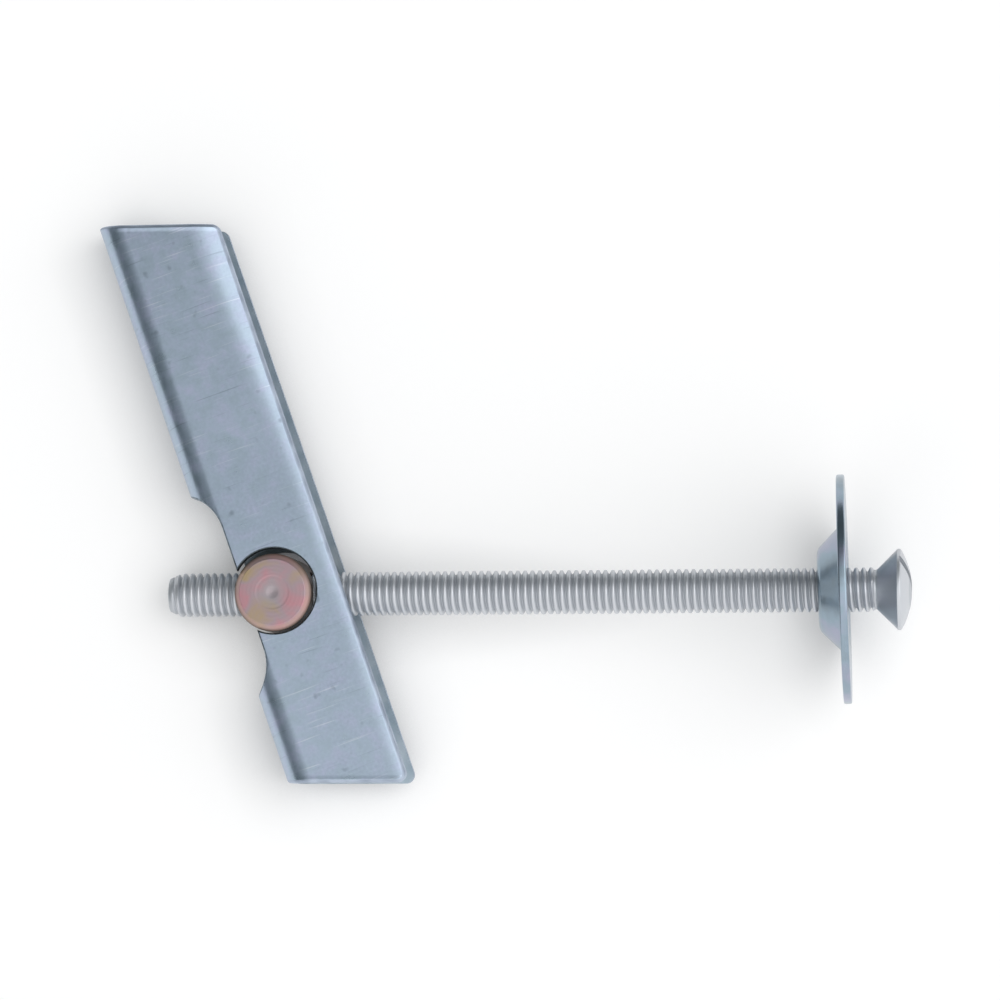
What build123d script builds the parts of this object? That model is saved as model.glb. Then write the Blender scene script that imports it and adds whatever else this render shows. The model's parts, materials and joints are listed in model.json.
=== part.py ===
from build123d import *
import math
import os

# Gravity toggle bolt, in millimetres: a folded steel bar pivots off its centre on a tapped cross pin near
# the tip of a machine screw, with a loose cup washer under the screw's head. It lies on its side, at rest.

# Machine screw: raised countersunk head, thread along the whole shank
thread_diameter = 6.0
screw_length = 100.0
tip_taper_length = 1.5
tip_taper_depth = 0.7
neck_diameter = 5.35
neck_length = 0.3
head_diameter = 11.0
head_cone_deg = 90.0
head_rim = 0.4
dome_height = 1.5
driver_slot_width = 1.2
driver_slot_depth = 1.6
driver_slot_turn_deg = 46.0

# Trunnion nut: turned cross pin, tapped across its middle
nut_diameter = 10.6
nut_proud = 0.6
nut_chamfer = 0.8
nut_dimple_diameter = 1.8
nut_dimple_depth = 0.5
thread_room = 0.05
tip_past_nut = 15.0

# Toggle bar: one sheet folded to a channel, open towards the screw's head
bar_sheet = 1.2
bar_width = 10.0
bar_depth = 16.15
bar_bend_radius = 2.6
web_to_pivot = 7.2
long_arm = 53.55
short_arm = 27.65
bar_lean_deg = 19.2
bar_corner_radius = 1.2
bar_edge_radius = 0.4

# Play of the bar on the nut, and the side to which it has slipped
pivot_play = 0.5
pivot_slip = 0.28
pivot_slip_deg = 62.0

# Slot through the bar's web, for the screw to swing in
slot_depth = 3.25
slot_long_side = 10.6
slot_short_side = 6.95
slot_end_radius = 6.6

# Cup washer: pressed disc with a conical cup that takes the screw's head
washer_diameter = 31.0
washer_sheet = 1.1
washer_hole_play = 0.5
cup_depth = 2.95
cup_mouth_diameter = 16.8
cup_bend_radius = 0.6
washer_rim_chamfer = 0.25
cup_floor_to_nut = 73.85
washer_lean_deg = 1.55
washer_turn_deg = 1.6

# Overrun of every cut, and how finely the rest on the floor is found
overrun = 2.0
rest_tolerance = 0.01
rest_turn_tolerance = 0.05
rest_rounds = 12

# Sizes that follow from the ones above
thread_radius = thread_diameter / 2
neck_radius = neck_diameter / 2
head_radius = head_diameter / 2
nut_radius = nut_diameter / 2
nut_length = bar_width + 2 * nut_proud
bar_bend_outside = bar_bend_radius + bar_sheet
free_edge = bar_depth - web_to_pivot
washer_radius = washer_diameter / 2
washer_hole_radius = thread_radius + washer_hole_play
head_slope = math.tan(math.radians(head_cone_deg / 2))
screw_tip = -tip_past_nut
rim_top = screw_tip + screw_length
rim_foot = rim_top - head_rim
cone_foot = rim_foot - (head_radius - neck_radius) / head_slope
neck_foot = cone_foot - neck_length
thread_end = neck_foot - (thread_radius - neck_radius)
dome_top = rim_top + dome_height


# The assembly's own axes: X along the screw from tip to head, Z along the trunnion, origin at the pivot.
def make_screw():
    dome_crown = (dome_top, 0)
    side = Polyline(
        dome_crown,
        (screw_tip, 0),
        (screw_tip, thread_radius - tip_taper_depth),
        (screw_tip + tip_taper_length, thread_radius),
        (thread_end, thread_radius),
        (neck_foot, neck_radius),
        (cone_foot, neck_radius),
        (rim_foot, head_radius),
        (rim_top, head_radius),
    )
    dome = TangentArc(dome_crown, (rim_top, head_radius), tangent=(0, 1))
    blank = revolve(make_face([*side.edges(), dome.edge()]), Axis.X)
    driver_slot = Box(
        driver_slot_depth + overrun,
        driver_slot_width,
        head_diameter + overrun,
        align=(Align.MIN, Align.CENTER, Align.CENTER),
    )
    return blank - Pos(dome_top - driver_slot_depth, 0, 0) * Rot(-driver_slot_turn_deg, 0, 0) * driver_slot


def make_nut():
    pin = Cylinder(nut_radius, nut_length)
    pin = chamfer(pin.edges().filter_by(GeomType.CIRCLE), nut_chamfer)
    tapping = Rot(0, 90, 0) * Cylinder(thread_radius + thread_room, nut_diameter + overrun)
    dimple = Cone(0, nut_dimple_diameter / 2, nut_dimple_depth, align=(Align.CENTER, Align.CENTER, Align.MAX))
    upper_dimple = Pos(0, 0, nut_length / 2) * dimple
    return pin - tapping - upper_dimple - Rot(180, 0, 0) * upper_dimple


# The bar is drawn with its long arm along Y, its web at -X and its pivot holes on the Z axis.
def bar_outline():
    end_rise = math.tan(math.radians(bar_lean_deg))
    corners = [
        (-web_to_pivot, long_arm + web_to_pivot * end_rise),
        (-web_to_pivot, -short_arm + web_to_pivot * end_rise),
        (free_edge, -short_arm - free_edge * end_rise),
        (free_edge, long_arm - free_edge * end_rise),
    ]
    outline = make_face(Polyline(*corners, close=True))
    return fillet(outline.vertices().group_by(Axis.X)[-1], bar_corner_radius)


def make_bar():
    block = extrude(bar_outline(), bar_width / 2, both=True)
    web = block.faces().sort_by(Axis.X)[0]
    block = fillet(web.edges().filter_by(Axis.Y), bar_bend_outside)

    # The sheet's outer skin ends in one rim, round both ends and the free edges, which the shears have rolled
    round_faces = block.faces().filter_by(GeomType.CYLINDER)
    bends = [face for face in round_faces if face.axis_of_rotation.is_parallel(Axis.Y)]
    skin = [block.faces().sort_by(Axis.X)[0], *block.faces().filter_by(Axis.Z), *bends]
    skin_edges = [edge for face in skin for edge in face.edges()]
    rim = [edge for edge in skin_edges if skin_edges.count(edge) == 1]
    block = fillet(rim, bar_edge_radius)

    hollow = Box(
        bar_depth - bar_sheet + overrun,
        long_arm + short_arm + bar_depth + 2 * overrun,
        bar_width - 2 * bar_sheet,
        align=(Align.MIN, Align.CENTER, Align.CENTER),
    )
    hollow = fillet(hollow.faces().sort_by(Axis.X)[0].edges().filter_by(Axis.Y), bar_bend_radius)
    hollow = Pos(bar_sheet - web_to_pivot, (long_arm - short_arm) / 2, 0) * hollow

    slot = SlotCenterToCenter(slot_long_side + slot_short_side, 2 * slot_end_radius, rotation=90)
    slot_middle = (slot_long_side - slot_short_side) / 2
    slot = Pos(slot_depth - web_to_pivot - slot_end_radius, slot_middle) * slot
    pivot_holes = Circle(nut_radius + pivot_play)
    return block - hollow - extrude(slot + pivot_holes, bar_width, both=True)


# The washer is drawn round X, with the outside of its cup's floor at the origin.
def make_washer():
    mouth_radius = cup_mouth_diameter / 2
    foot_radius = mouth_radius - cup_depth * head_slope
    bend_outside = cup_bend_radius + washer_sheet
    mitre = washer_sheet * math.tan(math.radians(90 - head_cone_deg / 2) / 2)
    toggle_side = FilletPolyline(
        (0, washer_hole_radius),
        (0, foot_radius),
        (cup_depth, mouth_radius),
        (cup_depth, washer_radius),
        radius=(bend_outside, cup_bend_radius),
    )
    head_side = FilletPolyline(
        (washer_sheet, washer_hole_radius),
        (washer_sheet, foot_radius - mitre),
        (cup_depth + washer_sheet, mouth_radius - mitre),
        (cup_depth + washer_sheet, washer_radius),
        radius=(cup_bend_radius, bend_outside),
    )
    hole_wall = Line(toggle_side @ 0, head_side @ 0)
    rim_wall = Line(toggle_side @ 1, head_side @ 1)
    section = make_face([*toggle_side.edges(), *head_side.edges(), hole_wall.edge(), rim_wall.edge()])
    section = chamfer(section.vertices().group_by(Axis.Y)[-1], washer_rim_chamfer)
    return revolve(section, Axis.X)


# The floor touches the washer's rim, the nut's end and the long arm, so their lowest points give its plane.
def rest_plane():
    clouds = [
        pieces[name].tessellate(rest_tolerance, rest_turn_tolerance)[0]
        for name in ("cup_washer", "trunnion_nut", "toggle_bar")
    ]
    clouds[-1] = [point for point in clouds[-1] if point.Y > nut_radius]
    up = Vector(0, 0, 1)
    for _ in range(rest_rounds):
        on_washer, on_nut, on_arm = [min(cloud, key=up.dot) for cloud in clouds]
        up = (on_washer - on_nut).cross(on_arm - on_nut).normalized()
    along = Vector(1, 0, 0)
    return Plane(on_nut, x_dir=along - up * along.dot(up), z_dir=up)


slip_side = Rot(0, 0, pivot_slip_deg) * Pos(pivot_slip, 0, 0)
bar_place = Pos(slip_side.position) * Rot(0, 0, bar_lean_deg)
washer_place = Pos(cup_floor_to_nut, 0, 0) * Rot(0, 0, washer_lean_deg) * Rot(0, washer_turn_deg, 0)

pieces = {
    "machine_screw": make_screw(),
    "trunnion_nut": make_nut(),
    "toggle_bar": bar_place * make_bar(),
    "cup_washer": washer_place * make_washer(),
}

# Laid on the floor, with the origin under the middle of its box
floor = rest_plane().location.inverse()
box = Compound(children=[floor * piece for piece in pieces.values()]).bounding_box()
to_row = Pos(-box.center().X, -box.center().Y, -box.min.Z) * floor

os.makedirs("parts", exist_ok=True)
for name, piece in pieces.items():
    export_step(to_row * piece, f"parts/{name}.step")
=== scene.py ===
import json
import math

import bmesh
import bpy
from mathutils import Matrix, Vector


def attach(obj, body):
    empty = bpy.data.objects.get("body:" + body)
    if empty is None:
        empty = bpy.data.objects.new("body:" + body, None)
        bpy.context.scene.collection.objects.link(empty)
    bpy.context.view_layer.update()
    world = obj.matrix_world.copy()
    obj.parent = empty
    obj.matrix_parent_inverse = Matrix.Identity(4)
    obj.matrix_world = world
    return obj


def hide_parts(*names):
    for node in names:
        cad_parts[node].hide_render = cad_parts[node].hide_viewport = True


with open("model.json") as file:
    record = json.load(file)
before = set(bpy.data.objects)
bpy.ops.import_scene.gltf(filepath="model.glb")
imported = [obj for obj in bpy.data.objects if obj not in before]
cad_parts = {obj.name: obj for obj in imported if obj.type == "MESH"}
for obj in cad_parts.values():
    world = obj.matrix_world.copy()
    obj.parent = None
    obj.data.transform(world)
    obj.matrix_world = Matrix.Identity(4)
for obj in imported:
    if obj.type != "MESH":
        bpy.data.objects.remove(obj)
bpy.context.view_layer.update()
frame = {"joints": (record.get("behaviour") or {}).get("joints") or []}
scene = bpy.context.scene
scene.view_settings.view_transform = "Standard"
mm = 0.001
closeMm = 1e-4  # points nearer than this are the same point

# The bolt's own axes, read from its joints: X runs along the screw to its head, Z along the cross pin
joints = {joint["name"]: joint for joint in frame["joints"]}
alongScrew = Vector(joints["nut_travel"]["axis"]).normalized()
alongPin = Vector(joints["bar_swing"]["axis"]).normalized()
assembly = Matrix((alongScrew, alongPin.cross(alongScrew), alongPin)).transposed().to_4x4()
assembly.translation = Vector(joints["bar_swing"]["pos_m"])
print("frame read, pivot at", [round(value / mm, 2) for value in assembly.translation], "mm")


# Shapes: paths with rounded corners, turned forms, prisms and cuts, all in millimetres
def roundedPath(corners, stepDeg=6):
    path = []
    for i, (x, y, radius) in enumerate(corners):
        corner = Vector((x, y))
        if not radius:
            path.append(corner)
            continue
        before = (Vector(corners[i - 1][:2]) - corner).normalized()
        after = (Vector(corners[(i + 1) % len(corners)][:2]) - corner).normalized()
        half = before.angle(after) / 2
        middle = corner + (before + after).normalized() * radius / math.sin(half)
        start = corner + before * radius / math.tan(half) - middle
        stop = corner + after * radius / math.tan(half) - middle
        first = math.atan2(start.y, start.x)
        turn = (math.atan2(stop.y, stop.x) - first + math.pi) % (2 * math.pi) - math.pi
        steps = max(2, math.ceil(abs(turn) / math.radians(stepDeg)))
        for step in range(steps + 1):
            angle = first + turn * step / steps
            path.append(middle + radius * Vector((math.cos(angle), math.sin(angle))))
    return path


# A closed path of (x, radius) turned round X; a path that starts and ends on the axis needs no closing side
def turned(path, segments, closed=True):
    bm = bmesh.new()
    rings = []
    for x, radius in path:
        if radius < closeMm:
            rings.append([bm.verts.new((x, 0, 0))])
            continue
        angles = [2 * math.pi * step / segments for step in range(segments)]
        rings.append([bm.verts.new((x, radius * math.cos(a), radius * math.sin(a))) for a in angles])
    pairs = list(zip(rings, rings[1:] + rings[:1])) if closed else list(zip(rings, rings[1:]))
    for near, far in pairs:
        for step in range(segments):
            corners = [near[step % len(near)], near[(step + 1) % len(near)]]
            corners += [far[(step + 1) % len(far)], far[step % len(far)]]
            corners = list(dict.fromkeys(corners))
            if len(corners) > 2:
                bm.faces.new(corners)
    bmesh.ops.recalc_face_normals(bm, faces=bm.faces)
    return bm


def prism(path, low, high, materialIndex=0):
    bm = bmesh.new()
    bottom = [bm.verts.new((x, y, low)) for x, y in path]
    top = [bm.verts.new((x, y, high)) for x, y in path]
    bm.faces.new(bottom)
    bm.faces.new(top)
    for i in range(len(path)):
        bm.faces.new((bottom[i - 1], bottom[i], top[i], top[i - 1]))
    for face in bm.faces:
        face.material_index = materialIndex
    bmesh.ops.recalc_face_normals(bm, faces=bm.faces)
    return bm


def soften(bm, edges, width, segments, materialIndex=-1):
    bmesh.ops.bevel(bm, geom=edges, offset=width, offset_type="OFFSET", segments=segments, profile=0.5,
                    affect="EDGES", clamp_overlap=False, material=materialIndex)


def looseObject(name, bm, materials):
    mesh = bpy.data.meshes.new(name)
    bm.to_mesh(mesh)
    bm.free()
    for material in materials:
        mesh.materials.append(material)
    loose = bpy.data.objects.new(name, mesh)
    scene.collection.objects.link(loose)
    return loose


def cutAway(bm, cutters, materials):
    blank = looseObject("blank", bm, materials)
    tools = [looseObject("tool", cutter, materials) for cutter in cutters]
    for tool in tools:
        cut = blank.modifiers.new("cut", "BOOLEAN")
        cut.operation = "DIFFERENCE"
        cut.solver = "EXACT"
        cut.object = tool
    bpy.context.view_layer.update()
    result = bmesh.new()
    evaluated = blank.evaluated_get(bpy.context.evaluated_depsgraph_get())
    result.from_mesh(evaluated.to_mesh())
    evaluated.to_mesh_clear()
    for loose in [blank, *tools]:
        bpy.data.objects.remove(loose)
    bmesh.ops.remove_doubles(result, verts=result.verts, dist=closeMm)
    bmesh.ops.dissolve_degenerate(result, edges=result.edges, dist=closeMm)
    return result


# A finished mesh takes its node's place, in metres, and rides on the node's body
def makePiece(name, bm, place, materials, body, node, smoothDeg=40):
    bmesh.ops.transform(bm, matrix=place @ Matrix.Scale(mm, 4), verts=bm.verts)
    bmesh.ops.recalc_face_normals(bm, faces=bm.faces)
    piece = looseObject(name, bm, materials)
    piece.data.polygons.foreach_set("use_smooth", [True] * len(piece.data.polygons))
    piece.data.set_sharp_from_angle(angle=math.radians(smoothDeg))
    normals = piece.modifiers.new("flat faces stay flat", "WEIGHTED_NORMAL")
    normals.keep_sharp = True
    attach(piece, body)
    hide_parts(node)
    print(name, "made,", len(piece.data.polygons), "faces")


# Materials: colours are sRGB hex codes, pattern sizes are in millimetres
def hexToLinear(code):
    channels = [int(code[i:i + 2], 16) / 255 for i in (1, 3, 5)]
    return [c / 12.92 if c <= 0.04045 else ((c + 0.055) / 1.055) ** 2.4 for c in channels] + [1.0]


# Settings are the node's own properties; inputs are sockets or values by name or number; stops fill a ramp
# with hex codes or linear colours, lowest first, highest second and then those between
def addNode(tree, kind, settings=None, inputs=None, stops=None):
    node = tree.nodes.new(kind)
    for name, value in (settings or {}).items():
        setattr(node, name, value)
    for name, value in (inputs or {}).items():
        if isinstance(value, bpy.types.NodeSocket):
            tree.links.new(value, node.inputs[name])
        else:
            node.inputs[name].default_value = value
    for i, (position, colour) in enumerate(stops or []):
        element = node.color_ramp.elements[i] if i < 2 else node.color_ramp.elements.new(position)
        element.position = position
        element.color = hexToLinear(colour) if isinstance(colour, str) else colour
    return node


# A new material and the point it colours, in millimetres along the piece's own axes
def startMaterial(name, place):
    material = bpy.data.materials.new(name)
    material.use_nodes = True
    tree = material.node_tree
    inFrame = addNode(tree, "ShaderNodeTexCoord").outputs["Object"]
    inPiece = addNode(tree, "ShaderNodeMapping", {"vector_type": "TEXTURE"}, {
        "Vector": inFrame,
        "Location": place.translation,
        "Rotation": place.to_euler(),
        "Scale": (mm, mm, mm),
    })
    return material, tree, tree.nodes["Principled BSDF"], inPiece.outputs["Vector"]


# Distance of a point from one of its piece's axes, in millimetres
def fromAxis(tree, point, axis):
    parts = addNode(tree, "ShaderNodeSeparateXYZ", {}, {"Vector": point})
    across = {name: parts.outputs[name] for name in "XYZ" if name != axis}
    flat = addNode(tree, "ShaderNodeCombineXYZ", {}, across)
    radius = addNode(tree, "ShaderNodeVectorMath", {"operation": "LENGTH"}, {0: flat.outputs["Vector"]})
    return radius.outputs["Value"]


# Rings that a tool or a press leaves round an axis: a low wave in the surface
def addRings(tree, shader, radius, piece):
    turns = addNode(tree, "ShaderNodeMath", {"operation": "MULTIPLY"},
                    {0: radius, 1: 2 * math.pi / piece["ringMm"]})
    wave = addNode(tree, "ShaderNodeMath", {"operation": "SINE"}, {0: turns.outputs[0]})
    bump = addNode(tree, "ShaderNodeBump", {}, {
        "Height": wave.outputs[0],
        "Strength": piece["ringStrength"],
        "Distance": piece["ringHighMm"] * mm,
    })
    tree.links.new(bump.outputs["Normal"], shader.inputs["Normal"])


# Toggle bar: one strip folded to a channel, its long arm along Y and its web at -X
bar = {
    "width": 10.0,
    "depth": 16.15,
    "sheet": 1.2,
    "bend": 2.6,
    "webToPivot": 7.2,
    "longArm": 53.55,
    "shortArm": 27.65,
    "corner": 1.2,
    "rimRound": 0.4,
    "punchRound": 0.22,
    "pivotHole": 5.8,
    "slotDepth": 3.25,
    "slotLongSide": 10.6,
    "slotShortSide": 6.95,
    "slotRound": 6.6,
    "slip": 0.28,
    "slipDeg": 62.0,
    "overrun": 3.0,
    "bendSteps": 18,
    "rimSteps": 4,
    "punchSteps": 3,
    "holeSteps": 120,
    "slotStepDeg": 3,
    "curlWide": 4.3,  # free edges lean in this far and this steeply at the long arm's end
    "curlSlope": 0.44,
    "curlNarrow": 1.8,  # and this far and this steeply along the short arm
    "curlGentle": 0.26,
    "curlFrom": 4.0,
    "curlRun": 46.0,
    "curlRows": 9,
    "burrHigh": 0.12,
    "burrIn": 0.46,
    "burrWide": 0.18,
    "burrFade": 0.32,
    "burrLow": 0.05,
    "burrRows": (0.5, 1.0, 1.5, 2.0, 3.0, 4.0, 5.0),  # in widths of the burr, inwards from the rim
    "burrUneven": 0.3,
    "burrWaves": (1.3, 0.7),  # radians for each millimetre across the strip
    "rowEvery": 6.0,
}
barLean = math.radians(90 - joints["bar_swing"]["range_deg"][1])
slipSide = Matrix.Rotation(math.radians(bar["slipDeg"]), 4, "Z") @ Vector((bar["slip"] * mm, 0, 0))
barPlace = assembly @ Matrix.Translation(slipSide) @ Matrix.Rotation(barLean, 4, "Z")

# Finishes of the bar. A mark is its colour, the levels of its noise at which it starts and is full, and the
# share of the colour when full
barLook = {
    "tintStops": [(0.34, "#ABBCC9"), (0.66, "#BAC2D9"), (0.5, "#B2C1D2")],  # teal, lavender, blue between
    "mottleMm": 2.6,
    "mottleFine": 0.6,
    "cloudMm": 11.0,
    "grainMm": 0.45,
    "grainHighMm": 0.012,
    "grainStrength": 0.35,
    "scratchLongMm": 7.0,
    "scratchFineMm": 0.28,
    "smudgeMm": 1.6,
    "dull": ("#A0AEBF", 0.1, 0.42, 0.6),
    "paleScratch": ("#DDE3EC", 0.67, 0.78, 0.42),
    "darkScratch": ("#6E7986", 0.32, 0.21, 0.36),
    "smudge": ("#77828F", 0.70, 0.82, 0.5),
    "roughness": (0.27, 0.37),
    "roughLevels": (0.3, 0.7),
    "edgeStops": [(0.36, "#A3AEBE"), (0.62, "#BAC5D4")],
    "edgePatchMm": 2.4,
    "edgeRoughness": 0.56,
    # painted shade: the punched walls of the hole and the slot are coloured darker than the sheet
    "punchedShadeStops": [(0.36, "#6F7B85"), (0.64, "#929EA9")],
    "streakWideMm": 0.5,
    "streakLongMm": 2.5,
    "punchedRoughness": 0.45,
    # painted light: the channel's inside is coloured paler than the sheet to lift its shade
    "insideLitStops": [(0.34, "#B2C3CF"), (0.66, "#CFDAE3")],
    "dripMm": 3.0,
    "insideMetallic": 0.4,
    "insideRoughness": 0.42,
    # painted shade: a dark colour round the pivot fills the gap round the pin
    "pivotShadeHex": "#2E3736",
    "pivotShadeFullMm": 6.6,
    "pivotShadeGoneMm": 8.4,
    "pivotShadeOnPunched": 0.65,
    "pivotShadeInside": 0.92,
}


# Blue passivated zinc on rolled sheet: satin blue-grey, mottled with lavender and teal, grained, and
# scratched across the strip by the press
def bluePassivatedSheet():
    look = barLook
    material, tree, shader, point = startMaterial("blue passivated zinc sheet", barPlace)
    shader.inputs["Metallic"].default_value = 1.0
    mottle = addNode(tree, "ShaderNodeTexNoise", {}, {
        "Vector": point, "Scale": 1 / look["mottleMm"], "Detail": 4, "Roughness": look["mottleFine"]})
    tint = addNode(tree, "ShaderNodeValToRGB", {}, {"Fac": mottle.outputs["Fac"]}, look["tintStops"])
    cloud = addNode(tree, "ShaderNodeTexNoise", {}, {
        "Vector": point, "Scale": 1 / look["cloudMm"], "Detail": 2})
    grain = addNode(tree, "ShaderNodeTexNoise", {}, {
        "Vector": point, "Scale": 1 / look["grainMm"], "Detail": 2})
    patches = addNode(tree, "ShaderNodeMath", {"operation": "MULTIPLY"},
                      {0: cloud.outputs["Fac"], 1: grain.outputs["Fac"]})

    # Scratches are long across the strip, which is X, and fine along it
    slow, fast = 1 / look["scratchLongMm"], 1 / look["scratchFineMm"]
    acrossStrip = addNode(tree, "ShaderNodeMapping", {}, {"Vector": point, "Scale": (slow, fast, slow)})
    lines = addNode(tree, "ShaderNodeTexNoise", {}, {
        "Vector": acrossStrip.outputs["Vector"], "Scale": 1.0, "Detail": 1})
    smudges = addNode(tree, "ShaderNodeTexNoise", {}, {
        "Vector": point, "Scale": 1 / look["smudgeMm"], "Detail": 1})
    marks = {
        "dull": patches.outputs[0],
        "paleScratch": lines.outputs["Fac"],
        "darkScratch": lines.outputs["Fac"],
        "smudge": smudges.outputs["Fac"],
    }
    colour = tint.outputs["Color"]
    for mark, level in marks.items():
        markHex, start, full, most = look[mark]
        share = addNode(tree, "ShaderNodeMapRange", {}, {
            "Value": level, "From Min": start, "From Max": full, "To Min": 0.0, "To Max": most})
        marked = addNode(tree, "ShaderNodeMix", {"data_type": "RGBA"}, {
            0: share.outputs["Result"], 6: colour, 7: hexToLinear(markHex)})
        colour = marked.outputs[2]
    tree.links.new(colour, shader.inputs["Base Color"])

    (lowLevel, highLevel), (low, high) = look["roughLevels"], look["roughness"]
    matt = addNode(tree, "ShaderNodeMapRange", {}, {
        "Value": mottle.outputs["Fac"],
        "From Min": lowLevel,
        "From Max": highLevel,
        "To Min": low,
        "To Max": high,
    })
    tree.links.new(matt.outputs["Result"], shader.inputs["Roughness"])
    height = addNode(tree, "ShaderNodeMath", {"operation": "ADD"},
                     {0: grain.outputs["Fac"], 1: lines.outputs["Fac"]})
    bump = addNode(tree, "ShaderNodeBump", {}, {
        "Height": height.outputs[0],
        "Strength": look["grainStrength"],
        "Distance": look["grainHighMm"] * mm,
    })
    tree.links.new(bump.outputs["Normal"], shader.inputs["Normal"])
    return material


# Zinc over a sheared edge: a little greyer and much drier than the sheet, in soft patches
def shearedEdge():
    material, tree, shader, point = startMaterial("zinc over a sheared edge", barPlace)
    shader.inputs["Metallic"].default_value = 1.0
    shader.inputs["Roughness"].default_value = barLook["edgeRoughness"]
    patches = addNode(tree, "ShaderNodeTexNoise", {}, {
        "Vector": point, "Scale": 1 / barLook["edgePatchMm"], "Detail": 1})
    colour = addNode(tree, "ShaderNodeValToRGB", {}, {"Fac": patches.outputs["Fac"]}, barLook["edgeStops"])
    tree.links.new(colour.outputs["Color"], shader.inputs["Base Color"])
    return material


# Painted shade round the pivot, for the gap round the pin: it darkens a colour and fades away along the sheet
def pivotShaded(tree, point, colour, most):
    share = addNode(tree, "ShaderNodeMapRange", {}, {
        "Value": fromAxis(tree, point, "Z"),
        "From Min": barLook["pivotShadeFullMm"],
        "From Max": barLook["pivotShadeGoneMm"],
        "To Min": most,
        "To Max": 0.0,
    })
    dark = addNode(tree, "ShaderNodeMix", {"data_type": "RGBA"}, {
        0: share.outputs["Result"], 6: colour, 7: hexToLinear(barLook["pivotShadeHex"])})
    return dark.outputs[2]


# Zinc on a punched wall: greyer and darker than on the sheet, painted shade in the hole and the slot,
# streaked through the thickness by the punch
def punchedWall():
    material, tree, shader, point = startMaterial("shaded zinc on a punched wall", barPlace)
    shader.inputs["Metallic"].default_value = 1.0
    shader.inputs["Roughness"].default_value = barLook["punchedRoughness"]
    slow, fast = 1 / barLook["streakLongMm"], 1 / barLook["streakWideMm"]
    throughSheet = addNode(tree, "ShaderNodeMapping", {}, {"Vector": point, "Scale": (fast, fast, slow)})
    streaks = addNode(tree, "ShaderNodeTexNoise", {}, {
        "Vector": throughSheet.outputs["Vector"], "Scale": 1.0, "Detail": 2})
    bare = addNode(tree, "ShaderNodeValToRGB", {}, {"Fac": streaks.outputs["Fac"]}, barLook["punchedShadeStops"])
    colour = pivotShaded(tree, point, bare.outputs["Color"], barLook["pivotShadeOnPunched"])
    tree.links.new(colour, shader.inputs["Base Color"])
    return material


# The channel's inside: the same plating, duller, with drips of the bath, painted paler as painted light on
# its shade and painted dark round the pivot as painted shade
def innerSkin():
    material, tree, shader, point = startMaterial("dull passivated zinc inside the fold", barPlace)
    shader.inputs["Metallic"].default_value = barLook["insideMetallic"]
    shader.inputs["Roughness"].default_value = barLook["insideRoughness"]
    drips = addNode(tree, "ShaderNodeTexNoise", {}, {
        "Vector": point, "Scale": 1 / barLook["dripMm"], "Detail": 4})
    bare = addNode(tree, "ShaderNodeValToRGB", {}, {"Fac": drips.outputs["Fac"]}, barLook["insideLitStops"])
    colour = pivotShaded(tree, point, bare.outputs["Color"], barLook["pivotShadeInside"])
    tree.links.new(colour, shader.inputs["Base Color"])
    return material


# The free edges lean in and the sheared ends rise to a low burr, so the walls are cut into rows first
def workTheSheet(bm, free, half):
    along, across = math.cos(barLean), math.sin(barLean)
    endNormal = (across, along, 0)
    planes = []
    for row in range(bar["curlRows"]):
        planes.append(((free - bar["curlWide"] * (row + 1) / bar["curlRows"], 0, 0), (1, 0, 0)))
    rows = math.floor((bar["longArm"] + bar["shortArm"]) / bar["rowEvery"])
    for row in range(1, rows):
        planes.append(((0, row * bar["rowEvery"] - bar["shortArm"], 0), (0, 1, 0)))
    for end in (bar["longArm"], -bar["shortArm"]):
        for share in bar["burrRows"]:
            inwards = math.copysign(share * bar["burrWide"] + bar["rimRound"] / 2, end) / along
            planes.append(((0, end - inwards, 0), endNormal))
    for corner, normal in planes:
        bmesh.ops.bisect_plane(bm, geom=[*bm.verts, *bm.edges, *bm.faces], dist=closeMm,
                               plane_co=corner, plane_no=normal)
    uneven = bar["burrUneven"]
    longWave, shortWave = bar["burrWaves"]
    for vert in bm.verts:
        x, y, z = vert.co
        if x < free - bar["curlWide"] - bar["bend"] - bar["sheet"] and abs(z) < half - bar["rimRound"]:
            continue
        side = math.copysign(1, z)
        arm = min(max((y - bar["curlFrom"]) / bar["curlRun"], 0), 1)
        arm = arm * arm * (3 - 2 * arm)
        width = bar["curlNarrow"] + (bar["curlWide"] - bar["curlNarrow"]) * arm
        slope = bar["curlGentle"] + (bar["curlSlope"] - bar["curlGentle"]) * arm
        lean = max(x - free + width, 0)
        vert.co.z -= side * slope * lean * lean / (2 * width)
        upTheArm = x * across + y * along
        toEnd = min(bar["longArm"] * along - upTheArm, bar["shortArm"] * along + upTheArm)
        spread = bar["burrWide"] if toEnd < bar["burrIn"] else bar["burrFade"]
        high = bar["burrHigh"] if y > 0 else bar["burrLow"]
        high *= 1 - uneven + uneven * math.sin(longWave * x) * math.sin(shortWave * x + 1)
        if abs(z) > half - bar["rimRound"] / 2:
            vert.co.z += side * high * math.exp(-((toEnd - bar["burrIn"]) / spread) ** 2)


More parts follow.
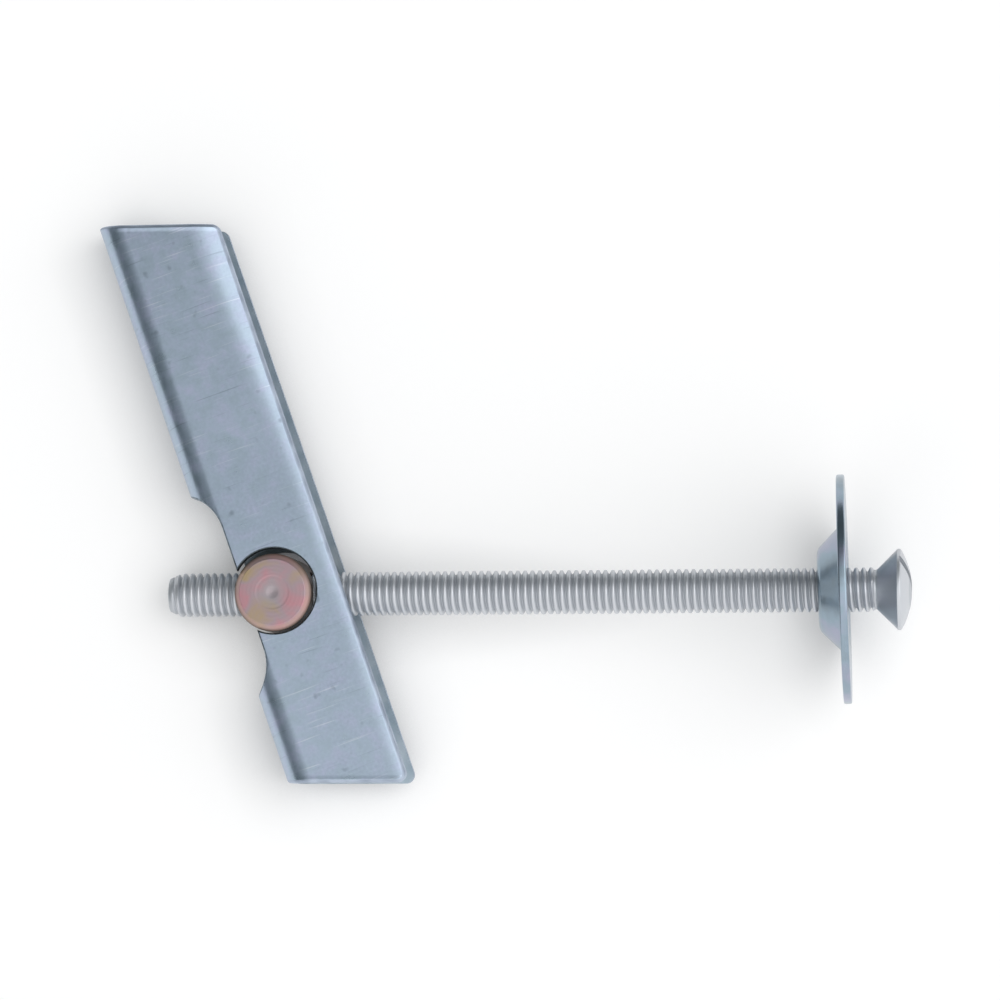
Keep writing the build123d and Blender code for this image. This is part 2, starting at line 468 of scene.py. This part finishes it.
def makeBar():
    web, free = -bar["webToPivot"], bar["depth"] - bar["webToPivot"]
    half, rise = bar["width"] / 2, math.tan(barLean)
    outline = roundedPath([
        (web, bar["longArm"] - web * rise, 0),
        (web, -bar["shortArm"] - web * rise, 0),
        (free, -bar["shortArm"] - free * rise, bar["corner"]),
        (free, bar["longArm"] - free * rise, bar["corner"]),
    ])
    block = prism(outline, -half, half)
    webEdges = [edge for edge in block.edges if all(v.co.x < web + closeMm for v in edge.verts)
                and abs(edge.verts[0].co.y - edge.verts[1].co.y) > bar["depth"]]
    soften(block, webEdges, bar["bend"] + bar["sheet"], bar["bendSteps"])
    block.normal_update()
    for face in block.faces:
        sheared = abs(face.normal.z) < 0.01 and (abs(face.normal.y) > 0.2 or face.normal.x > 0.2)
        face.material_index = 1 if sheared else 0
    rim = [edge for edge in block.edges if sum(face.material_index for face in edge.link_faces) == 1]
    soften(block, rim, bar["rimRound"], bar["rimSteps"], 1)

    inside = half - bar["sheet"]
    reach = bar["longArm"] + bar["depth"]
    hollowPath = roundedPath([
        (web + bar["sheet"], -inside, bar["bend"]),
        (free + bar["overrun"], -inside, 0),
        (free + bar["overrun"], inside, 0),
        (web + bar["sheet"], inside, bar["bend"]),
    ])
    hollow = prism(hollowPath, -reach, reach, 3)
    bmesh.ops.rotate(hollow, matrix=Matrix.Rotation(math.radians(-90), 3, "X"), verts=hollow.verts)

    slotMiddle = web + bar["slotDepth"] - bar["slotRound"]
    slotPath = roundedPath([
        (slotMiddle - bar["slotRound"], bar["slotLongSide"] + bar["slotRound"], bar["slotRound"]),
        (slotMiddle - bar["slotRound"], -bar["slotShortSide"] - bar["slotRound"], bar["slotRound"]),
        (slotMiddle + bar["slotRound"], -bar["slotShortSide"] - bar["slotRound"], bar["slotRound"]),
        (slotMiddle + bar["slotRound"], bar["slotLongSide"] + bar["slotRound"], bar["slotRound"]),
    ], bar["slotStepDeg"])
    slot = prism(slotPath, -bar["width"], bar["width"], 2)
    holeAngles = [2 * math.pi * (step + 0.5) / bar["holeSteps"] for step in range(bar["holeSteps"])]
    holePath = [bar["pivotHole"] * Vector((math.cos(a), math.sin(a))) for a in holeAngles]
    hole = prism(holePath, -bar["width"], bar["width"], 2)
    materials = [bluePassivatedSheet(), shearedEdge(), punchedWall(), innerSkin()]
    bm = cutAway(block, [hollow, slot, hole], materials)
    punched = [edge for edge in bm.edges if sorted(face.material_index for face in edge.link_faces) == [0, 2]]
    soften(bm, punched, bar["punchRound"], bar["punchSteps"], 2)
    workTheSheet(bm, free, half)
    makePiece("toggleBar", bm, barPlace, materials, "bar", "toggle_bar")


makeBar()


# Trunnion nut: a chamfered pin on Z, tapped through for the screw
nut = {
    "diameter": 10.6,
    "length": 11.2,
    "chamfer": 0.8,
    "edgeRound": 0.12,
    "dimple": 1.8,
    "dimpleDepth": 0.16,
    "stepRadius": 2.3,
    "stepDeep": 0.02,
    "tapping": 6.1,
    "overrun": 1.0,
    "roundSteps": 96,
    "boreSteps": 64,
    "filmStops": [  # olive, mauve twice, and pink between
        (0.28, "#B49E76"),
        (0.74, "#AD999F"),
        (0.44, "#AD999F"),
        (0.58, "#C28E96"),
    ],
    "patchMm": 5.0,
    "patchTwist": 0.3,
    "greyHex": "#A9A3A7",
    "greyRadius": 1.7,
    "greyMost": 0.8,
    # painted highlight: a peach band on the chamfers
    "chamferHighlightHex": "#BF9F93",
    "chamferHighlightFade": 0.2,
    "chamferHighlightMost": 0.6,
    # painted shade: the pin's side, inside the holes, is coloured dark
    "sideShadeHex": "#72645A",
    "sideShadeFade": 0.4,
    "ringMm": 0.55,
    "ringHighMm": 0.006,
    "ringStrength": 0.3,
    "metallic": 0.45,
    "roughness": 0.36,
}


# Yellow chromate on a turned pin: a warm grey film that shifts to pink and olive in patches, with tool rings;
# a painted peach highlight on the chamfers and painted shade colouring the side dark inside the holes
def yellowChromate():
    material, tree, shader, point = startMaterial("yellow chromated turned steel", assembly)
    shader.inputs["Metallic"].default_value = nut["metallic"]
    shader.inputs["Roughness"].default_value = nut["roughness"]
    patches = addNode(tree, "ShaderNodeTexNoise", {}, {
        "Vector": point, "Scale": 1 / nut["patchMm"], "Detail": 3, "Distortion": nut["patchTwist"]})
    film = addNode(tree, "ShaderNodeValToRGB", {}, {"Fac": patches.outputs["Fac"]}, nut["filmStops"])
    radius = fromAxis(tree, point, "Z")
    parts = addNode(tree, "ShaderNodeSeparateXYZ", {}, {"Vector": point})
    height = addNode(tree, "ShaderNodeMath", {"operation": "ABSOLUTE"}, {0: parts.outputs["Z"]}).outputs[0]

    # Zones: what they are measured by, where they start and stop, their shares there and their colour
    chamferStart = nut["diameter"] / 2 - nut["chamfer"]
    sideTop = nut["length"] / 2 - nut["chamfer"]
    zones = [
        (radius, nut["greyRadius"] / 2, nut["greyRadius"] * 1.5, nut["greyMost"], 0.0, nut["greyHex"]),
        (radius, chamferStart, chamferStart + nut["chamferHighlightFade"], 0.0, nut["chamferHighlightMost"], nut["chamferHighlightHex"]),
        (height, sideTop, sideTop + nut["sideShadeFade"], 1.0, 0.0, nut["sideShadeHex"]),
    ]
    colour = film.outputs["Color"]
    for measure, start, stop, atStart, atStop, zoneHex in zones:
        share = addNode(tree, "ShaderNodeMapRange", {}, {
            "Value": measure, "From Min": start, "From Max": stop, "To Min": atStart, "To Max": atStop})
        zoned = addNode(tree, "ShaderNodeMix", {"data_type": "RGBA"}, {
            0: share.outputs["Result"], 6: colour, 7: hexToLinear(zoneHex)})
        colour = zoned.outputs[2]
    tree.links.new(colour, shader.inputs["Base Color"])
    addRings(tree, shader, radius, nut)
    return material


def makeNut():
    radius, end = nut["diameter"] / 2, nut["length"] / 2
    faced = end - nut["stepDeep"]
    upperHalf = [
        (faced - nut["dimpleDepth"], nut["edgeRound"], 0),
        (faced, nut["dimple"] / 2, nut["dimpleDepth"]),
        (faced, nut["stepRadius"] - nut["edgeRound"], nut["edgeRound"]),
        (end, nut["stepRadius"] + nut["edgeRound"], nut["edgeRound"]),
        (end, radius - nut["chamfer"], nut["edgeRound"]),
        (end - nut["chamfer"], radius, nut["edgeRound"]),
    ]
    lowerHalf = [(-x, y, r) for x, y, r in reversed(upperHalf)]
    path = [(upperHalf[0][0], 0)] + list(roundedPath(upperHalf + lowerHalf)) + [(-upperHalf[0][0], 0)]
    pin = turned(path, nut["roundSteps"], closed=False)
    bmesh.ops.rotate(pin, matrix=Matrix.Rotation(math.radians(-90), 3, "Y"), verts=pin.verts)
    reach, wide = radius + nut["overrun"], nut["tapping"] / 2
    bore = turned([(-reach, 0), (-reach, wide), (reach, wide), (reach, 0)], nut["boreSteps"], closed=False)
    materials = [yellowChromate()]
    bm = cutAway(pin, [bore], materials)
    makePiece("trunnionNut", bm, assembly, materials, "nut", "trunnion_nut")


makeNut()


# Machine screw: a true right-hand helix that runs out into the neck under a raised countersunk head
screw = {
    "thread": 6.0,
    "pitch": 1.0,
    "threadDepth": 0.54,
    "tip": -15.0,
    "length": 100.0,
    "tipTaper": 1.5,
    "tipDepth": 0.7,
    "neck": 5.35,
    "neckLength": 0.3,
    "runOut": 0.2,
    "bridge": 0.05,
    "head": 11.0,
    "coneDeg": 90.0,
    "rim": 0.4,
    "rimRound": 0.14,
    "dome": 1.5,
    "driverWidth": 1.2,
    "driverDepth": 1.6,
    "driverTurnDeg": 46.0,
    "perTurn": 48,
    "headSteps": 96,
    "domeSteps": 24,
    # painted shade: the roots are coloured darker than the crests
    "rootShadeHex": "#C0C4C9",
    "crestHex": "#CDD0D5",
    "cloudMm": 4.0,
    "cloudShare": 0.5,
    "metallic": 0.68,
    "roughness": (0.5, 0.36),  # in the roots and on the crests
}
# One pitch from crest to crest: (share of the pitch, share of the thread's depth)
threadShares = [(-0.20, 0.10), (-0.11, 0.0), (0.11, 0.0), (0.20, 0.10),
                (0.41, 0.92), (0.46, 1.0), (0.54, 1.0), (0.59, 0.92)]


# Bright zinc on a rolled thread: plain grey metal, glossier on the crests and duller in the roots, with
# painted shade colouring the roots darker
def brightZinc():
    material, tree, shader, point = startMaterial("bright zinc on rolled steel", assembly)
    shader.inputs["Metallic"].default_value = screw["metallic"]
    crest = screw["thread"] / 2
    towardsCrest = addNode(tree, "ShaderNodeMapRange", {}, {
        "Value": fromAxis(tree, point, "X"), "From Min": crest - screw["threadDepth"], "From Max": crest})
    cloud = addNode(tree, "ShaderNodeTexNoise", {}, {
        "Vector": point, "Scale": 1 / screw["cloudMm"], "Detail": 3})
    uneven = addNode(tree, "ShaderNodeMath", {"operation": "MULTIPLY_ADD"},
                     {0: cloud.outputs["Fac"], 1: screw["cloudShare"], 2: -screw["cloudShare"] / 2})
    polishAndRootShade = addNode(tree, "ShaderNodeMath", {"operation": "ADD", "use_clamp": True},
                     {0: towardsCrest.outputs["Result"], 1: uneven.outputs[0]}).outputs[0]
    colour = addNode(tree, "ShaderNodeMix", {"data_type": "RGBA"}, {
        0: polishAndRootShade, 6: hexToLinear(screw["rootShadeHex"]), 7: hexToLinear(screw["crestHex"])})
    tree.links.new(colour.outputs[2], shader.inputs["Base Color"])
    inRoots, onCrests = screw["roughness"]
    matt = addNode(tree, "ShaderNodeMapRange", {}, {"Value": polishAndRootShade, "To Min": inRoots, "To Max": onCrests})
    tree.links.new(matt.outputs["Result"], shader.inputs["Roughness"])
    return material


def makeScrew():
    radius, neck, head = screw["thread"] / 2, screw["neck"] / 2, screw["head"] / 2
    tip = screw["tip"]
    rimTop = tip + screw["length"]
    rimFoot = rimTop - screw["rim"]
    coneFoot = rimFoot - (head - neck) / math.tan(math.radians(screw["coneDeg"] / 2))
    neckFoot = coneFoot - screw["neckLength"]
    neckMiddle = (neckFoot + coneFoot) / 2

    # The helix is one long strip: a row of profile points for each step round the screw
    perTurn = screw["perTurn"]
    turns = math.ceil((neckMiddle - tip) / screw["pitch"]) + 4
    start = tip - 2 * screw["pitch"]
    bm = bmesh.new()
    rows = []
    for step in range(turns * perTurn):
        angle = 2 * math.pi * step / perTurn
        row = []
        for pitchShare, depthShare in threadShares:
            x = start + screw["pitch"] * (step / perTurn + pitchShare)
            r = radius - screw["threadDepth"] * depthShare
            runOut = min(max((x - neckFoot) / screw["runOut"] + 1, 0), 1)
            r += (neck - r) * runOut
            taper = min(max(1 - (x - tip) / screw["tipTaper"], 0), 1)
            r = min(r, radius - screw["tipDepth"] * taper)
            row.append(bm.verts.new((x, r * math.cos(angle), r * math.sin(angle))))
        rows.append(row)
    for step in range(len(rows) - 1):
        near, far = list(rows[step]), list(rows[step + 1])
        if step + 1 + perTurn < len(rows):
            near.append(rows[step + perTurn][0])
            far.append(rows[step + 1 + perTurn][0])
        for i in range(len(near) - 1):
            bm.faces.new((near[i], near[i + 1], far[i + 1], far[i]))
    for x, side in ((tip, -1), (neckMiddle, 1)):
        geometry = [*bm.verts, *bm.edges, *bm.faces]
        bmesh.ops.bisect_plane(bm, geom=geometry, plane_co=(x, 0, 0), plane_no=(side, 0, 0), clear_outer=True)
    tipLoop = [e for e in bm.edges if e.is_boundary and all(abs(v.co.x - tip) < closeMm for v in e.verts)]
    bmesh.ops.contextual_create(bm, geom=tipLoop)
    neckLoop = [edge for edge in bm.edges if edge.is_boundary]

    # The head is turned from the neck up, then bridged to the thread
    dome = screw["dome"]
    domeRadius = (head ** 2 + dome ** 2) / (2 * dome)
    headPath = [Vector((neckMiddle + screw["bridge"], neck))]
    headPath += roundedPath([
        (neckMiddle, neck, 0),
        (coneFoot, neck, screw["rimRound"]),
        (rimFoot, head, screw["rimRound"]),
        (rimTop, head, screw["rimRound"]),
        (rimTop + dome, 0, 0),
    ])[1:-1]
    for step in range(1, screw["domeSteps"] + 1):
        x = rimTop + dome * step / screw["domeSteps"]
        fromMiddle = x - rimTop - dome + domeRadius
        headPath.append(Vector((x, math.sqrt(max(domeRadius ** 2 - fromMiddle ** 2, 0)))))
    headPath[-1].y = 0
    headForm = turned(headPath, screw["headSteps"], closed=False)
    headMesh = bpy.data.meshes.new("head")
    headForm.to_mesh(headMesh)
    headForm.free()
    threadEdges = set(bm.edges)
    bm.from_mesh(headMesh)
    bpy.data.meshes.remove(headMesh)
    headLoop = [edge for edge in bm.edges if edge.is_boundary and edge not in threadEdges]
    bmesh.ops.bridge_loops(bm, edges=neckLoop + headLoop)
    bmesh.ops.recalc_face_normals(bm, faces=bm.faces)

    slotFloor = rimTop + dome - screw["driverDepth"]
    wide, high = screw["driverWidth"] / 2, screw["head"]
    slot = prism([(slotFloor, -wide), (slotFloor + high, -wide), (slotFloor + high, wide), (slotFloor, wide)],
                 -high, high)
    driverTurn = Matrix.Rotation(math.radians(-screw["driverTurnDeg"]), 3, "X")
    bmesh.ops.rotate(slot, matrix=driverTurn, verts=slot.verts)
    materials = [brightZinc()]
    bm = cutAway(bm, [slot], materials)
    makePiece("machineScrew", bm, assembly, materials, "screw", "machine_screw")


makeScrew()


# Cup washer: a pressed disc round X, with the outside of its cup's floor at its own origin
washer = {
    "diameter": 31.0,
    "sheet": 1.1,
    "hole": 7.0,
    "cupDepth": 2.95,
    "cupMouth": 16.8,
    "coneDeg": 90.0,
    "bend": 0.6,
    "rimRound": 0.25,
    "holeRound": 0.12,
    "floorToNut": 73.85,
    "leanDeg": 1.55,
    "turnDeg": 1.6,
    "roundSteps": 160,
    "tintStops": [(0.34, "#8B98A1"), (0.66, "#A5A9BC"), (0.5, "#96A7B4")],  # grey, lavender, blue between
    "cloudMm": 5.0,
    "roughness": (0.18, 0.30),
    "ringMm": 0.8,
    "ringHighMm": 0.006,
    "ringStrength": 0.2,
}
washerLean = Matrix.Rotation(math.radians(washer["leanDeg"]), 4, "Z")
washerTurn = Matrix.Rotation(math.radians(washer["turnDeg"]), 4, "Y")
washerPlace = assembly @ Matrix.Translation((washer["floorToNut"] * mm, 0, 0)) @ washerLean @ washerTurn


# Blue passivated zinc on a pressed disc: cool grey with a lavender cast and faint drawing rings
def pressedZinc():
    material, tree, shader, point = startMaterial("blue passivated pressed steel", washerPlace)
    shader.inputs["Metallic"].default_value = 1.0
    cloud = addNode(tree, "ShaderNodeTexNoise", {}, {
        "Vector": point, "Scale": 1 / washer["cloudMm"], "Detail": 4})
    tint = addNode(tree, "ShaderNodeValToRGB", {}, {"Fac": cloud.outputs["Fac"]}, washer["tintStops"])
    tree.links.new(tint.outputs["Color"], shader.inputs["Base Color"])
    low, high = washer["roughness"]
    matt = addNode(tree, "ShaderNodeMapRange", {}, {
        "Value": cloud.outputs["Fac"], "To Min": low, "To Max": high})
    tree.links.new(matt.outputs["Result"], shader.inputs["Roughness"])
    addRings(tree, shader, fromAxis(tree, point, "X"), washer)
    return material


def makeWasher():
    sheet, deep = washer["sheet"], washer["cupDepth"]
    hole, mouth, rim = washer["hole"] / 2, washer["cupMouth"] / 2, washer["diameter"] / 2
    foot = mouth - deep * math.tan(math.radians(washer["coneDeg"] / 2))
    mitre = sheet * math.tan(math.radians(90 - washer["coneDeg"] / 2) / 2)
    outer = washer["bend"] + sheet
    path = roundedPath([
        (0, hole, washer["holeRound"]),
        (0, foot, outer),
        (deep, mouth, washer["bend"]),
        (deep, rim, washer["rimRound"]),
        (deep + sheet, rim, washer["rimRound"]),
        (deep + sheet, mouth - mitre, outer),
        (sheet, foot - mitre, washer["bend"]),
        (sheet, hole, washer["holeRound"]),
    ])
    bm = turned(path, washer["roundSteps"])
    makePiece("cupWasher", bm, washerPlace, [pressedZinc()], "washer", "cup_washer")


makeWasher()


# Studio: a white floor, a soft world that is paler beyond the head and the short arm, and one large lamp
studio = {
    "floorSize": 6.0,
    "floorHex": "#CBCBCB",
    "floorRoughness": 0.9,
    "floorLift": 0.47,
    "paintedShadowReachMm": 10.0,
    "brightWay": (0.5, -0.75, 0.43),
    "worldStops": [
        (0.0, (0.09, 0.105, 0.11, 1)),
        (1.0, (1.05, 1.05, 1.05, 1)),
        (0.3, (0.13, 0.15, 0.155, 1)),
        (0.42, (0.175, 0.195, 0.205, 1)),
        (0.53, (0.29, 0.31, 0.32, 1)),
        (0.61, (0.70, 0.71, 0.72, 1)),
        (0.68, (1.2, 1.2, 1.2, 1)),
        (0.8, (1.15, 1.15, 1.15, 1)),
    ],
    "lampWay": (0.5, 0.12, 0.86),
    "lampFar": 0.9,
    "lampSize": 0.9,
    "lampWatts": 2.0,
}


# White paper: matt, and a little brighter to the eye than the light on it, by a glow that camera rays and
# reflections see; near the object the glow fades by ambient occlusion, a painted shadow
def whiteFloor():
    material, tree, shader, _ = startMaterial("white paper sweep", Matrix.Identity(4))
    shader.inputs["Base Color"].default_value = hexToLinear(studio["floorHex"])
    shader.inputs["Roughness"].default_value = studio["floorRoughness"]
    rays = addNode(tree, "ShaderNodeLightPath")
    seen = addNode(tree, "ShaderNodeMath", {"operation": "MAXIMUM"},
                   {0: rays.outputs["Is Camera Ray"], 1: rays.outputs["Is Glossy Ray"]})
    seen = addNode(tree, "ShaderNodeMath", {"operation": "MAXIMUM"},
                   {0: seen.outputs[0], 1: rays.outputs["Is Transmission Ray"]})
    # painted shadow: the floor's glow fades by ambient occlusion near the object
    paintedShadowNearObject = addNode(tree, "ShaderNodeAmbientOcclusion", {"samples": 4},
                        {"Distance": studio["paintedShadowReachMm"] * mm})
    lift = addNode(tree, "ShaderNodeMath", {"operation": "MULTIPLY"},
                   {0: seen.outputs[0], 1: paintedShadowNearObject.outputs["AO"]})
    lift = addNode(tree, "ShaderNodeMath", {"operation": "MULTIPLY"},
                   {0: lift.outputs[0], 1: studio["floorLift"]})
    shader.inputs["Emission Color"].default_value = (1, 1, 1, 1)
    tree.links.new(lift.outputs[0], shader.inputs["Emission Strength"])
    return material


def makeFloor():
    bm = bmesh.new()
    bmesh.ops.create_grid(bm, x_segments=1, y_segments=1, size=studio["floorSize"] / 2)
    floor = looseObject("floor", bm, [whiteFloor()])


def makeLamp():
    lampData = bpy.data.lights.new("softBox", "AREA")
    lampData.size = studio["lampSize"]
    lampData.energy = studio["lampWatts"]
    lamp = bpy.data.objects.new("softBox", lampData)
    way = Vector(studio["lampWay"]).normalized()
    lamp.location = way * studio["lampFar"]
    lamp.rotation_euler = way.to_track_quat("Z", "Y").to_euler()
    scene.collection.objects.link(lamp)


# The world is a soft dome: dark behind the tip and the long arm, bright on the other side
def makeWorld():
    world = bpy.data.worlds.new("studio")
    scene.world = world
    world.use_nodes = True
    tree = world.node_tree
    direction = addNode(tree, "ShaderNodeTexCoord").outputs["Generated"]
    towardsLight = addNode(tree, "ShaderNodeVectorMath", {"operation": "DOT_PRODUCT"},
                           {0: direction, 1: Vector(studio["brightWay"]).normalized()})
    spread = addNode(tree, "ShaderNodeMapRange", {}, {
        "Value": towardsLight.outputs["Value"], "From Min": -1.0, "From Max": 1.0})
    shade = addNode(tree, "ShaderNodeValToRGB", {}, {"Fac": spread.outputs["Result"]}, studio["worldStops"])
    tree.links.new(shade.outputs["Color"], tree.nodes["Background"].inputs["Color"])


makeFloor()
makeLamp()
makeWorld()
print("studio lit")

# Camera: straight down on the floor, which is a few degrees off the bar's side, so that its far wall shows
view = {
    "turnDeg": (-4.64, -7.01, 0.34),
    "sideMm": 30.30,
    "upMm": 12.97,
    "distanceMm": 600.0,
    "lens": 157.46,
    "clipMm": 10.0,
}
turn = Vector([math.radians(value) for value in view["turnDeg"]])
towardsView = Matrix.Rotation(turn.length, 4, turn.normalized())
towardsView.translation = Vector((-view["sideMm"], -view["upMm"], 0)) * mm
cameraData = bpy.data.cameras.new("camera")
cameraData.lens = view["lens"]
cameraData.clip_start = view["clipMm"] * mm
camera = bpy.data.objects.new("camera", cameraData)
scene.collection.objects.link(camera)
camera.matrix_world = (assembly @ towardsView.inverted()
                       @ Matrix.Translation((0, 0, view["distanceMm"] * mm)))
scene.camera = camera
